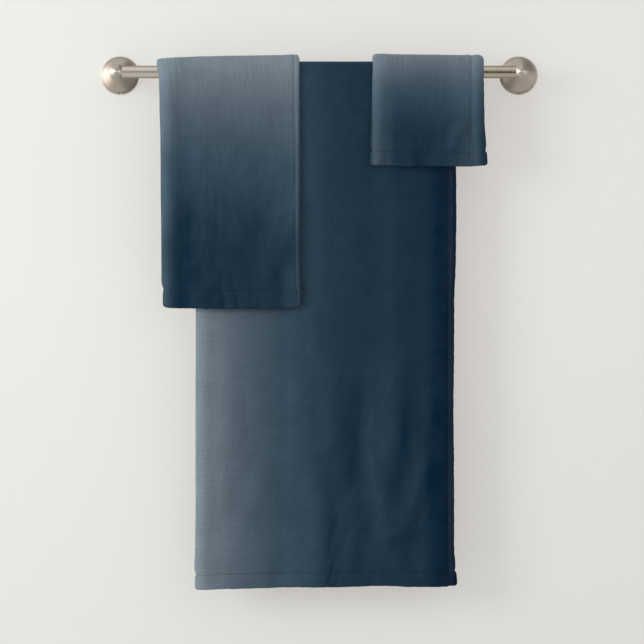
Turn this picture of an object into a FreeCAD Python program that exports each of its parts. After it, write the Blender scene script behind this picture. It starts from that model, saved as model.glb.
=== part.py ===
import FreeCAD, Part

import math
import os
from dataclasses import dataclass

# A bath towel set hung on a wall bar: bath towel, hand towel and washcloth, the bar, and its wall fixings.
# Millimetres. +X runs along the bar to the right, -Y points into the room, +Z is up.
# The origin is on the wall, midway between the two posts and level with the bar's axis.

Vector = FreeCAD.Vector

# Bar and posts
POST_SPACING = 609.6  # 24 inches, axis to axis
BAR_STAND_OFF = 66.0  # wall to the bar's axis
BAR_RADIUS = 9.5
BAR_WALL = 1.2
SOCKET_CLEARANCE = 0.05  # on the radius, so that the bar turns
SOCKET_END_PLAY = 1.0
HEAD_RADIUS = 12.4  # ball at the post's free end
NECK_RADIUS = 9.8
NECK_FILLET = 6.0  # between the neck and the ball
FLARE_START = 7.0  # distance from the wall where the bell-shaped flare leaves the rim
FLARE_END = 44.0  # and where it becomes the straight neck
FLARE_RADIUS_AT_RIM = 25.0
RIM_STEPS = [(29.0, 3.0), (27.6, 5.0), (26.2, FLARE_START)]  # (radius, distance from the wall)
CAVITY_RADIUS = 22.0
CAVITY_DEPTH = 9.5

# Wall bracket, hidden in the post's hollow foot
BRACKET_RADIUS = 20.3
BRACKET_DEPTH = 8.0
GROOVE_CENTRE = 4.6  # distance from the wall of the groove that the set screw bites
GROOVE_HALF_WIDTH = 2.0
GROOVE_DEPTH = 1.7
SCREW_SPACING = 25.0  # the two wall screws, one above the other

# Set screw, pointing up through the bottom of the rim
SET_SCREW_RADIUS = 2.0
SET_SCREW_OUTER_END = 25.4  # from the post's axis, so it is sunk in its hole
SET_SCREW_TIP = 18.9
SET_SCREW_TIP_RADIUS = 0.4
SET_SCREW_CONE = 1.8
HEX_SOCKET_RADIUS = 1.1  # centre to corner
HEX_SOCKET_DEPTH = 2.2

# Wall screws and plugs
WALL_SCREW_LENGTH = 25.4
WALL_SCREW_RADIUS = 2.0
WALL_SCREW_POINT = 3.0
SCREW_HEAD_RADIUS = 4.0
SCREW_HEAD_DEPTH = 2.4
CROSS_RECESS_LENGTH = 4.0
CROSS_RECESS_WIDTH = 0.9
CROSS_RECESS_DEPTH = 1.2
HOLE_CLEARANCE = 0.25
COUNTERSINK_CLEARANCE = 0.05
PLUG_RADIUS = 3.0
PLUG_LENGTH = 40.0
PLUG_BORE_DEPTH = 17.7
PLUG_NOSE = 3.0
PLUG_NOSE_RADIUS = 1.8

# Towels
CONTACT_GAP = 0.3  # between neighbouring layers of cloth
HEM_EXTRA = 0.8  # a hem is turned over twice, so it stands this much proud of its layer
SWING_LIMIT = 60.0  # degrees that a short towel's front drop can be lifted
SWING_CLEARANCE = 2.0  # degrees kept free at the end of that swing
FACE_ARCH_END = 90.0  # the lifted layer reaches up to the top of the bar
BATH_HINGE_DROP = 366.0  # below the bar's axis, just under the hand towel's hem


@dataclass
class Towel:
    """A towel folded in half lengthwise, fold on the left, then hung over the bar."""

    name: str
    fold_x: float
    face_width: float  # the outer layer
    under_width: float  # the layer beneath, which peeks out on the right
    inner_radius: float  # of its arch over the bar
    layer: float  # thickness of one layer
    front_drop: float  # bar axis to the lower edge in front
    back_drop: float
    hem: float  # depth of the sewn hem

    def radii(self, layer_name):
        """Inner and outer distance of a layer from the bar's axis."""
        start = self.inner_radius
        if layer_name == "face":
            start += self.layer + CONTACT_GAP
        return start, start + self.layer

    def width(self, layer_name):
        return self.face_width if layer_name == "face" else self.under_width


BATH = Towel("bath_towel", -186.5, 381.0, 391.0, 9.8, 2.9, 774.0, 710.0, 22.0)
HAND = Towel("hand_towel", -240.0, 200.0, 212.0, 17.0, 4.3, 355.0, 315.0, 27.0)
WASH = Towel("washcloth", 79.0, 150.0, 170.0, 17.0, 4.4, 143.0, 119.0, 21.0)
LAYERS = ("face", "under")
SIDES = {"front": -1, "back": 1}  # direction from the bar's axis along Y


def revolved(edges):
    """A solid of revolution about Y from a closed profile in the XY plane."""
    return Part.Face(Part.Wire(edges)).revolve(Vector(0, 0, 0), Vector(0, 1, 0), 360)


def line(start, end):
    return Part.LineSegment(start, end).toShape()


def arc(start, middle, end):
    return Part.Arc(start, middle, end).toShape()


def polyline(points):
    return [line(a, b) for a, b in zip(points, points[1:])]


def lathe(points):
    """A turned solid from (radius, y) points, closed along its axis."""
    outline = [Vector(r, y, 0) for r, y in points]
    return revolved(polyline(outline + outline[:1]))


# ---------------------------------------------------------------- posts and bar


def post_profile():
    """The post's outer outline from the wall, up the stepped rim, the flare and the neck, round the ball."""
    edges = []
    corner = Vector(RIM_STEPS[0][0], 0, 0)
    edges.append(line(Vector(0, 0, 0), corner))
    inner_radii = [radius for radius, _ in RIM_STEPS[1:]] + [FLARE_RADIUS_AT_RIM]
    for (radius, depth), next_radius in zip(RIM_STEPS, inner_radii):
        edges.append(line(corner, Vector(radius, -depth, 0)))
        corner = Vector(next_radius, -depth, 0)
        edges.append(line(Vector(radius, -depth, 0), corner))

    # The flare is an arc that ends parallel to the neck, so its centre is level with the flare's end.
    run = FLARE_END - FLARE_START
    rise = FLARE_RADIUS_AT_RIM - NECK_RADIUS
    flare_radius = (rise**2 + run**2) / (2 * rise)
    flare_centre = Vector(NECK_RADIUS + flare_radius, -FLARE_END, 0)
    start_angle = math.atan2(run, flare_radius - rise)
    middle = flare_centre + flare_radius * Vector(-math.cos(start_angle / 2), math.sin(start_angle / 2), 0)
    neck_start = Vector(NECK_RADIUS, -FLARE_END, 0)
    edges.append(arc(corner, middle, neck_start))

    # The fillet touches the straight neck and the ball.
    ball_centre = Vector(0, -BAR_STAND_OFF, 0)
    fillet_x = NECK_RADIUS + NECK_FILLET
    fillet_y = math.sqrt((HEAD_RADIUS + NECK_FILLET) ** 2 - fillet_x**2)
    fillet_centre = ball_centre + Vector(fillet_x, fillet_y, 0)
    to_ball = (ball_centre - fillet_centre).normalize()
    on_neck = fillet_centre - Vector(NECK_FILLET, 0, 0)
    on_ball = fillet_centre + NECK_FILLET * to_ball
    halfway = fillet_centre + NECK_FILLET * (to_ball + Vector(-1, 0, 0)).normalize()
    edges.append(line(neck_start, on_neck))
    edges.append(arc(on_neck, halfway, on_ball))

    ball_end = ball_centre - Vector(0, HEAD_RADIUS, 0)
    edges.append(arc(on_ball, ball_centre + Vector(HEAD_RADIUS, 0, 0), ball_end))
    edges.append(line(ball_end, Vector(0, 0, 0)))
    return edges


def post(side):
    """One post; side is -1 for the left and +1 for the right."""
    body = revolved(post_profile())
    cavity = Part.makeCylinder(CAVITY_RADIUS, CAVITY_DEPTH, Vector(0, -CAVITY_DEPTH, 0), Vector(0, 1, 0))
    socket = Part.makeCylinder(
        BAR_RADIUS + SOCKET_CLEARANCE,
        2 * HEAD_RADIUS,
        Vector(side * SOCKET_END_PLAY, -BAR_STAND_OFF, 0),
        Vector(-side, 0, 0),
    )
    screw_hole = Part.makeCylinder(
        SET_SCREW_RADIUS + SOCKET_CLEARANCE,
        RIM_STEPS[0][0],
        Vector(0, -GROOVE_CENTRE, 0),
        Vector(0, 0, -1),
    )
    body = body.cut(cavity).cut(socket).cut(screw_hole)
    body.translate(Vector(side * POST_SPACING / 2, 0, 0))
    return body


def screw_heights():
    return (SCREW_SPACING / 2, -SCREW_SPACING / 2)


def wall_bracket(side):
    """A thick disc, grooved for the set screw and countersunk for its two wall screws."""
    groove_bottom = BRACKET_RADIUS - GROOVE_DEPTH
    body = lathe(
        [
            (0, 0),
            (BRACKET_RADIUS, 0),
            (BRACKET_RADIUS, -GROOVE_CENTRE + GROOVE_HALF_WIDTH),
            (groove_bottom, -GROOVE_CENTRE),
            (BRACKET_RADIUS, -GROOVE_CENTRE - GROOVE_HALF_WIDTH),
            (BRACKET_RADIUS, -BRACKET_DEPTH),
            (0, -BRACKET_DEPTH),
        ]
    )
    hole_radius = WALL_SCREW_RADIUS + HOLE_CLEARANCE
    head_radius = SCREW_HEAD_RADIUS + COUNTERSINK_CLEARANCE
    for z in screw_heights():
        hole = Part.makeCylinder(hole_radius, BRACKET_DEPTH, Vector(0, -BRACKET_DEPTH, z), Vector(0, 1, 0))
        countersink = Part.makeCone(
            head_radius,
            WALL_SCREW_RADIUS + COUNTERSINK_CLEARANCE,
            SCREW_HEAD_DEPTH + COUNTERSINK_CLEARANCE,
            Vector(0, -BRACKET_DEPTH, z),
            Vector(0, 1, 0),
        )
        body = body.cut(hole).cut(countersink)
    body.translate(Vector(side * POST_SPACING / 2, 0, 0))
    return body


def set_screw(side):
    """A headless cone-point screw with a hexagon socket, standing on the vertical line under the post's axis."""
    shank_end = SET_SCREW_TIP + SET_SCREW_CONE
    shank = Part.makeCylinder(
        SET_SCREW_RADIUS, SET_SCREW_OUTER_END - shank_end, Vector(0, 0, shank_end), Vector(0, 0, 1)
    )
    point = Part.makeCone(
        SET_SCREW_TIP_RADIUS, SET_SCREW_RADIUS, SET_SCREW_CONE, Vector(0, 0, SET_SCREW_TIP), Vector(0, 0, 1)
    )
    floor = SET_SCREW_OUTER_END - HEX_SOCKET_DEPTH
    corners = []
    for k in range(6):
        angle = math.radians(60 * k)
        corners.append(Vector(HEX_SOCKET_RADIUS * math.cos(angle), HEX_SOCKET_RADIUS * math.sin(angle), floor))
    hexagon = Part.Face(Part.Wire(polyline(corners + corners[:1])))
    screw = shank.fuse(point).removeSplitter().cut(hexagon.extrude(Vector(0, 0, HEX_SOCKET_DEPTH)))
    screw.rotate(Vector(0, 0, 0), Vector(1, 0, 0), 180)
    screw.translate(Vector(side * POST_SPACING / 2, -GROOVE_CENTRE, 0))
    return screw


def wall_screw():
    """A countersunk wood screw with a cross recess, its head's face at the origin and its point along +Y."""
    screw = lathe(
        [
            (0, 0),
            (SCREW_HEAD_RADIUS, 0),
            (WALL_SCREW_RADIUS, SCREW_HEAD_DEPTH),
            (WALL_SCREW_RADIUS, WALL_SCREW_LENGTH - WALL_SCREW_POINT),
            (0, WALL_SCREW_LENGTH),
        ]
    )
    half_length = CROSS_RECESS_LENGTH / 2
    half_width = CROSS_RECESS_WIDTH / 2
    for half_x, half_z in ((half_length, half_width), (half_width, half_length)):
        slot = Part.makeBox(2 * half_x, CROSS_RECESS_DEPTH, 2 * half_z, Vector(-half_x, 0, -half_z))
        screw = screw.cut(slot)
    return screw


def wall_plug():
    """A wall plug with a blind bore and a tapered nose, its mouth at the origin."""
    return lathe(
        [
            (WALL_SCREW_RADIUS + SOCKET_CLEARANCE, 0),
            (PLUG_RADIUS, 0),
            (PLUG_RADIUS, PLUG_LENGTH - PLUG_NOSE),
            (PLUG_NOSE_RADIUS, PLUG_LENGTH),
            (0, PLUG_LENGTH),
            (0, PLUG_BORE_DEPTH),
            (WALL_SCREW_RADIUS + SOCKET_CLEARANCE, PLUG_BORE_DEPTH),
        ]
    )


def at_each_screw(make, depth):
    """Four copies of a fixing, two at each post, starting at this y."""
    copies = []
    for side in (-1, 1):
        for z in screw_heights():
            copy = make()
            copy.translate(Vector(side * POST_SPACING / 2, depth, z))
            copies.append(copy)
    return Part.makeCompound(copies)


def bar_tube():
    start = Vector(-POST_SPACING / 2, -BAR_STAND_OFF, 0)
    outer = Part.makeCylinder(BAR_RADIUS, POST_SPACING, start, Vector(1, 0, 0))
    inner = Part.makeCylinder(BAR_RADIUS - BAR_WALL, POST_SPACING, start, Vector(1, 0, 0))
    return outer.cut(inner)


def hardware():
    nodes = {"bar_tube": bar_tube()}
    for name, side in (("left", -1), ("right", 1)):
        nodes[name + "_post"] = post(side)
        nodes[name + "_wall_bracket"] = wall_bracket(side)
        nodes[name + "_set_screw"] = set_screw(side)
    nodes["wall_screws"] = at_each_screw(wall_screw, -BRACKET_DEPTH)
    nodes["wall_plugs"] = at_each_screw(wall_plug, 0)
    return nodes


# ---------------------------------------------------------------- towels


def arch(towel, layer_name, start, end):
    """A layer's curve over the bar, between two angles counted from the wall side up and over the top."""
    inner, outer = towel.radii(layer_name)

    def point(radius, angle):
        turn = math.radians(angle)
        y = -BAR_STAND_OFF + radius * math.cos(turn)
        return Vector(towel.fold_x, y, radius * math.sin(turn))

    middle = (start + end) / 2
    edges = [
        arc(point(outer, start), point(outer, middle), point(outer, end)),
        line(point(outer, end), point(inner, end)),
        arc(point(inner, end), point(inner, middle), point(inner, start)),
        line(point(inner, start), point(outer, start)),
    ]
    return Part.Face(Part.Wire(edges)).extrude(Vector(towel.width(layer_name), 0, 0))


def panel(towel, side_name, layer_name, top, bottom, extra=0.0):
    """A flat stretch of one layer between two drops below the bar; extra makes it stand proud of its fold."""
    inner, outer = towel.radii(layer_name)
    if layer_name == "face":
        outer += extra
    else:
        inner -= extra
    near, far = sorted(-BAR_STAND_OFF + SIDES[side_name] * radius for radius in (inner, outer))
    corner = Vector(towel.fold_x, near, -bottom)
    return Part.makeBox(towel.width(layer_name), far - near, bottom - top, corner)


def hemmed_drop(towel, side_name, layer_name, top, drop, prefix):
    """A hanging layer and the sewn hem along its lower edge."""
    hem_top = drop - towel.hem
    return {
        prefix + layer_name: panel(towel, side_name, layer_name, top, hem_top),
        prefix + layer_name + "_hem": panel(towel, side_name, layer_name, hem_top, drop, HEM_EXTRA),
    }


def back_nodes(towel):
    nodes = {}
    for layer_name in LAYERS:
        nodes.update(hemmed_drop(towel, "back", layer_name, 0, towel.back_drop, towel.name + "_back_"))
    return nodes


def short_towel(towel):
    """A towel whose whole front drop lifts about the bar.

    The under layer's arch and the face layer's arch are nested, so one slides over the other.
    """
    under_end = 180 - SWING_LIMIT - SWING_CLEARANCE
    face_end = FACE_ARCH_END - SWING_LIMIT - SWING_CLEARANCE
    nodes = {
        towel.name + "_saddle_under": arch(towel, "under", 0, under_end),
        towel.name + "_saddle_face": arch(towel, "face", 0, face_end),
    }
    nodes.update(back_nodes(towel))
    for layer_name in LAYERS:
        nodes.update(hemmed_drop(towel, "front", layer_name, 0, towel.front_drop, towel.name + "_front_"))
    face_name = towel.name + "_front_face"
    lifted_arch = arch(towel, "face", FACE_ARCH_END, 180)
    nodes[face_name] = nodes[face_name].fuse(lifted_arch).removeSplitter()
    return nodes


def bath_towel(towel):
    """The large towel, whose front swings out only below the hand towel that hangs over it."""
    nodes = {}
    for layer_name in LAYERS:
        nodes[towel.name + "_saddle_" + layer_name] = arch(towel, layer_name, 0, 180)
        nodes[towel.name + "_front_upper_" + layer_name] = panel(
            towel, "front", layer_name, 0, BATH_HINGE_DROP
        )
        lower_top = BATH_HINGE_DROP + CONTACT_GAP
        nodes.update(
            hemmed_drop(towel, "front", layer_name, lower_top, towel.front_drop, towel.name + "_front_lower_")
        )
    nodes.update(back_nodes(towel))
    return nodes


def main():
    nodes = hardware()
    nodes.update(bath_towel(BATH))
    nodes.update(short_towel(HAND))
    nodes.update(short_towel(WASH))
    os.makedirs("parts", exist_ok=True)
    for name, shape in nodes.items():
        if not shape.isValid():
            raise ValueError(name + " is not a valid shape")
        shape.exportStep("parts/" + name + ".step")
        box = shape.BoundBox
        print(f"{name}: {len(shape.Solids)} solid(s), {box.XLength:.1f} x {box.YLength:.1f} x {box.ZLength:.1f}")


main()
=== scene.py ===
"""A towel bar on a wall, with a bath towel, a hand towel and a washcloth folded over it."""

import math
from dataclasses import dataclass

import bpy
import numpy as np
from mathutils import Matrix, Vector


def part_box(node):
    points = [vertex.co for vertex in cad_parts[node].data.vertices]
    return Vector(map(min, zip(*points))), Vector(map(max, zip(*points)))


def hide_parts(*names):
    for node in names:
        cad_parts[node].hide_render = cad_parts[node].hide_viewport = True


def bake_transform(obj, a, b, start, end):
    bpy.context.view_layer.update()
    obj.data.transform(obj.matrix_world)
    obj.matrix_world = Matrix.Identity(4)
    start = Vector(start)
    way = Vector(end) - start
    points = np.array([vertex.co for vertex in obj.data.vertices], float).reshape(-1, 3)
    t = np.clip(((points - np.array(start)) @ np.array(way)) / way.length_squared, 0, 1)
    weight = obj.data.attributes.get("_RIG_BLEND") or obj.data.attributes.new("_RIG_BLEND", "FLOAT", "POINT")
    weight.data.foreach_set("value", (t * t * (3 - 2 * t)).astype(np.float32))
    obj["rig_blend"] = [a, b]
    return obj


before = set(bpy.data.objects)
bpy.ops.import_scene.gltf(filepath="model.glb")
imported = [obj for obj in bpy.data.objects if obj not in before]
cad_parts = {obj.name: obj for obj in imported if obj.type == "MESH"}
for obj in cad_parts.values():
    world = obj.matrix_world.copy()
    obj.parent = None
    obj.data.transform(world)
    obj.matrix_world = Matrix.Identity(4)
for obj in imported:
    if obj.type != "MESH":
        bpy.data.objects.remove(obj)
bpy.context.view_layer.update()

MM = 0.001

# Camera, in metres in the part's own frame
CAMERA_POSITION = (0.0044, -4.5, -0.3769)
CAMERA_LENS = 164.4

# The room
WALL_HALF_WIDTH = 4.0
WALL_TOP = 2.6
FLOOR_HEIGHT = -1.25
FLOOR_DEPTH = 5.0
WALL_PAINT = (0.388, 0.41, 0.414)
FLOOR_PAINT = (0.8, 0.79, 0.77)
WALL_GLOW = (0.436, 0.404, 0.372, 1.0)
GLOW_FROM_LEFT = (-0.5, 0.5, 1.0, 0.9)  # between these x, the glow falls from 1 to this share
GLOW_FROM_TOP = (-0.3, -0.85, 1.0, 0.88)  # the same between two heights

# The studio around it
BACKDROP = (0.98, 0.97, 0.95, 1.0)
WORLD_STRENGTH = 0.86
OVERHEAD = (-0.6, 0.6, 0.72, 0.9)  # between these heights, the light rises from 0.72 to 0.9
REAR_WALL = (0.42, 0.37, 0.31, 1.0)
WINDOW = (2.1, 2.0, 1.88, 1.0)
DARK = (0.035, 0.024, 0.014, 1.0)
# What metal reflects: colour, direction, and the cosines off it where it starts and is full
REFLECTIONS = (
    (REAR_WALL, (0, 1, 0), (0.0, 0.35)),
    (WINDOW, (-0.93, -0.3, 0.05), (0.68, 0.9)),
    (DARK, (0.7, -0.35, 0.62), (0.79, 0.92)),
)
DOORWAY_STRETCH = (1.0, 0.2, 0.5)  # so that a ball round the doorway's place is a tall oval
DOORWAY = (0.17, -0.196, -0.01)  # its place, stretched
DOORWAY_EDGE = (0.3, 0.19)  # the distances from it at which it starts and is full

# Cloth
RIM_STATIONS = (0.0, 0.06, 0.2, 0.45, 0.75, 1.0)  # round a free edge, in half thicknesses
MARK_STATIONS = (-2.4, -1.4, -0.8, -0.4, 0.0, 0.4, 0.8, 1.4, 2.4)  # mm each side of a stitch line
FOLD_STATIONS = 9
ARCH_STATIONS = 26
CLOSEST_STATIONS = 0.08 * MM
LEVEL_GAP = 0.4 * MM  # how far the side strip lies under the face
TUCK_REACH = 2.2 * MM  # over which the strip tucks in beneath the face
FREE_FADE = 150.0  # mm of drop over which a towel comes free of what holds it
BACK_WAVES = 0.6  # soft folds behind, as a share of those in front
HELD_CRUMPLE = 0.12  # the share of its wrinkles that a towel keeps where it doesn't hang free
FOLD_REACH = 24 * MM  # how far from the fold its pinch and rounding are felt
EDGE_REACH = 26 * MM  # the same for the free edges
FACE_CORNER = 4.0 * MM  # radius of the face's own lower corner
BACK_INSET = 3.5  # mm by which the back drop is tucked in on each side, so it stays hidden
HEM_THICKNESS = 0.5  # mm that a hem adds
BEAD = 1.2 * MM  # distance from the face's free edge, and width, of the bead along it
STITCH_DEPTH = 0.7 * MM
STITCH_GROOVE = 0.9 * MM  # half width of the groove that a seam draws in
STITCH_SIDE_INSET = 3.2 * MM  # of the side seam from the face's free edge
STITCH_PITCH = 3.4 * MM
STITCH_LENGTH = 2.5 * MM
STITCH_RADIUS = 0.26 * MM
STITCH_SIDES = 6
STITCH_RINGS = ((0.0, 0.45), (0.18, 1.0), (0.5, 1.15), (0.82, 1.0), (1.0, 0.45))  # place, width
BAR_BEND = 14 * MM  # depth in front of the bar's axis over which a lifted towel bends
BATH_BEND = 80 * MM  # drop below its hinge over which the bath towel bends
OMBRE_END = 1.25  # where the darkest dye lies on the shared colour scale
# Painted light and shade on the cloth: the step over which slopes are read, the strength of the painted
# light on the creases' slopes, and the colour of a full painted highlight
PAINTED_SLOPE_STEP = 3.0 * MM
PAINTED_CREASE_LIGHT = 0.6
PAINTED_HIGHLIGHT_TINT = (0.045, 0.06, 0.07, 1.0)  # painted highlight added to the dye's colour where the painted shading is 1
HAZE = (0.0045, 0.003, 0.0012)  # light that the pile's sheen adds everywhere
DARKEST_DYE = 0.003
DYE_STRENGTH = 0.95
THREAD_STRENGTH = 0.85
NOISE_CELLS = 128  # before the noise repeats, each way
NOISE_SHIFT = 500.0  # keeps the cells' numbers above 0

# Dye along the shared colour scale: position, then red, green and blue as seen, 0 to 255
OMBRE = (
    (0.00, 134, 146, 154),
    (0.11, 111, 124, 133),
    (0.23, 90, 102, 114),
    (0.35, 70, 86, 99),
    (0.44, 59, 77, 91),
    (0.57, 47, 66, 81),
    (0.66, 37, 56, 71),
    (0.78, 31, 50, 65),
    (1.04, 31, 50, 66),
    (1.14, 20, 41, 58),
    (1.25, 13, 34, 52),
)

# Hardware: the darker and the lighter colour of each surface's fine marks
LIGHTER_NICKEL = ((0.68, 0.6, 0.51, 1.0), (0.82, 0.75, 0.66, 1.0))
DARKER_NICKEL = ((0.5, 0.43, 0.33, 1.0), (0.66, 0.58, 0.47, 1.0))
DARKENING_FROM_TO = (-0.2, 0.28)  # along the bar
POST_NICKEL = ((0.46, 0.4, 0.335, 1.0), (0.95, 0.87, 0.78, 1.0))
BLACKENED_STEEL = ((0.05, 0.045, 0.04, 1.0), (0.09, 0.08, 0.07, 1.0))
PLATED_STEEL = ((0.5, 0.49, 0.44, 1.0), (0.66, 0.65, 0.6, 1.0))
CAST_ZINC = ((0.3, 0.3, 0.31, 1.0), (0.46, 0.46, 0.47, 1.0))
GREY_NYLON = ((0.36, 0.36, 0.35, 1.0), (0.48, 0.48, 0.46, 1.0))


# ---- Small helpers


def smooth(value):
    """0 to 1 with a soft start and stop."""
    value = np.clip(value, 0.0, 1.0)
    return value * value * (3.0 - 2.0 * value)


def bell(value, centre, width):
    """1 at the centre, falling softly to 0 on both sides."""
    return np.exp(-(((value - centre) / width) ** 2))


def curve(value, points):
    """A smooth line through (place, height) points."""
    places, heights = zip(*points)
    index = np.clip(np.searchsorted(places, value, side="right") - 1, 0, len(points) - 2)
    low, high = np.take(places, index), np.take(places, index + 1)
    part = smooth((value - low) / (high - low))
    return np.take(heights, index) * (1.0 - part) + np.take(heights, index + 1) * part


def noise(x, y, cell_x, cell_y, seed):
    """Smooth noise from -1 to 1 over cells of the given size."""
    lattice = np.random.default_rng(seed).uniform(-1.0, 1.0, (NOISE_CELLS, NOISE_CELLS))
    u, v = np.broadcast_arrays(x / cell_x + NOISE_SHIFT, y / cell_y + NOISE_SHIFT)
    i, j = np.floor(u).astype(int), np.floor(v).astype(int)
    a, b = smooth(u - i), smooth(v - j)
    i0, i1 = i % NOISE_CELLS, (i + 1) % NOISE_CELLS
    j0, j1 = j % NOISE_CELLS, (j + 1) % NOISE_CELLS
    near = lattice[i0, j0] * (1 - a) + lattice[i1, j0] * a
    far = lattice[i0, j1] * (1 - a) + lattice[i1, j1] * a
    return near * (1 - b) + far * b


def line_noise(place, cell, seed):
    """Smooth noise along a line."""
    return noise(place, 0 * place, cell, 1.0, seed)


def linear(channel):
    """One 0 to 255 display value as scene-linear light."""
    value = channel / 255.0
    return value / 12.92 if value <= 0.04045 else ((value + 0.055) / 1.055) ** 2.4


# ---- The towels


@dataclass
class Crease:
    """A soft ridge in hanging cloth, or a hollow where the height is negative. Millimetres."""

    start: tuple  # across from the fold, down from the bar
    end: tuple
    width: float
    height: float


@dataclass
class Style:
    """How one towel hangs. Millimetres, with x from the fold and drops below the bar's axis."""

    name: str
    front_hem: str  # CAD node of the face's hem in front
    front_body: str
    slot: str
    step: float  # spacing of the mesh
    fade: tuple  # share of the way along the print, place on the colour scale
    sideways: bool  # the print fades across the towel, not along it
    nap: tuple  # distance from the fold, painted highlight (above 0) or painted shade (below 0) there
    fold_lean: tuple  # share of the drop, how far the fold moves in x
    edge_lean: tuple  # the same for the free edges
    hem_line: tuple  # share across, extra drop of the lower edge
    top_squeeze: tuple  # share across, height of the arch's top as a share of the plain one
    roll: tuple  # height, distance from the fold and width of the soft roll beside it
    stand_off: float  # how far the front's lower edge stands out
    free_from: float  # drop below which it hangs free
    waves: tuple  # (cell across, cell down, height) of the soft folds that hang free
    creases: tuple
    crumple: float  # height of the small wrinkles between the creases
    hem_bulge: float  # how far the hem stands out past the free edge
    corner: float  # radius of the lower corners
    seed: int  # each kind of noise adds a number of its own
    face_spread: float = 0.0  # how much wider the face lies than its layer in CAD


BATH = Style(
    name="bath_towel",
    front_hem="bath_towel_front_lower_face_hem",
    front_body="bath_towel_lower_front",
    slot="bath_cloth",
    step=4.0,
    fade=(
        (0.0, 0.0), (0.08, 0.15), (0.2, 0.29), (0.4, 0.49), (0.6, 0.73), (0.88, 1.0), (1.0, 1.25),
    ),
    sideways=True,
    nap=(
        (0, 0.2), (6, 0.15), (14, 0.0), (150, 0.0), (265, 0.1), (285, 0.12), (330, 0.0),
        (379, 0.0), (383, 0.2), (391, 0.0),
    ),
    fold_lean=((0.0, 0.0), (0.5, 1.5), (0.8, 1.3), (0.95, 0.2), (1.0, 0.8)),
    edge_lean=(
        (0.0, 1.4), (0.28, 1.9), (0.36, 1.2), (0.45, -0.8), (0.55, -1.5),
        (0.65, -2.3), (0.75, -1.6), (0.93, -1.6), (0.965, 0.2), (1.0, 0.9),
    ),
    hem_line=(
        (0.0, 6.2), (0.14, 4.4), (0.4, 1.6), (0.56, 1.5), (0.71, -0.5), (0.87, 1.2), (1.0, 0.2),
    ),
    top_squeeze=((0.0, 1.0), (1.0, 1.0)),
    roll=(2.4, 13.0, 11.0),
    stand_off=0.0,
    free_from=385.0,
    waves=((62.0, 330.0, 3.6), (27.0, 170.0, 1.3), (120.0, 120.0, 1.6)),
    creases=(
        Crease((307, 420), (300, 600), 21.0, 4.4),
        Crease((278, 590), (291, 700), 14.0, 2.8),
        Crease((346, 596), (316, 690), 15.0, 3.2),
        Crease((259, 400), (250, 620), 17.0, -2.4),
        Crease((112, 590), (58, 712), 15.0, 1.8),
        Crease((126, 670), (170, 722), 11.0, 1.6),
        Crease((196, 430), (200, 560), 18.0, 2.4),
        Crease((30, 560), (52, 640), 12.0, 2.0),
    ),
    crumple=0.75,
    hem_bulge=2.4,
    corner=4.5,
    seed=11,
)
HAND = Style(
    name="hand_towel",
    front_hem="hand_towel_front_face_hem",
    front_body="hand_towel_front",
    slot="hand_cloth",
    step=2.6,
    fade=((0.0, 0.0), (0.25, 0.255), (0.5, 0.5), (0.75, 0.745), (1.0, 1.02)),
    sideways=False,
    face_spread=4.5,
    nap=(
        (0, 1.1), (6, 1.05), (12, 0.72), (18, 0.34), (24, 0.08), (30, -0.1), (44, -0.1), (53, 0.0),
        (64, 0.06), (80, 0.0), (150, 0.04), (175, 0.13), (197, 0.24), (203, 0.4), (206, 0.8),
        (209, 0.5), (212, 0.1),
    ),
    fold_lean=(
        (-0.05, -2.0), (-0.044, -3.8), (-0.028, -4.1), (-0.012, -2.3), (0.0, -0.9), (0.04, 0.8),
        (0.12, 1.9), (0.29, 3.4), (0.46, 4.0), (0.63, 4.4), (0.8, 4.9), (0.88, 5.9), (0.94, 7.8),
        (1.0, 8.0),
    ),
    edge_lean=((0.0, -1.6), (0.5, -0.4), (1.0, 1.6)),
    hem_line=((0.0, 0.4), (0.08, 1.4), (0.2, 1.7), (0.5, 2.8), (0.85, 1.8), (1.0, -1.0)),
    top_squeeze=(
        (0.0, 0.38), (0.07, 0.44), (0.15, 0.6), (0.3, 0.75), (0.57, 0.86), (0.85, 0.96), (1.0, 1.16),
    ),
    roll=(4.6, 15.0, 12.5),
    stand_off=3.2,
    free_from=0.0,
    waves=((70.0, 240.0, 1.4), (24.0, 150.0, 0.5)),
    creases=(
        Crease((208, 218), (156, 318), 21.0, 1.9),
        Crease((176, 196), (150, 250), 15.0, -1.2),
        Crease((186, 300), (190, 352), 11.0, -2.4),
        Crease((50, 300), (62, 352), 12.0, 1.8),
        Crease((96, 325), (100, 352), 6.0, -1.2),
        Crease((118, 328), (120, 352), 6.0, -1.0),
    ),
    crumple=0.4,
    hem_bulge=1.4,
    corner=6.5,
    seed=23,
)
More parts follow.
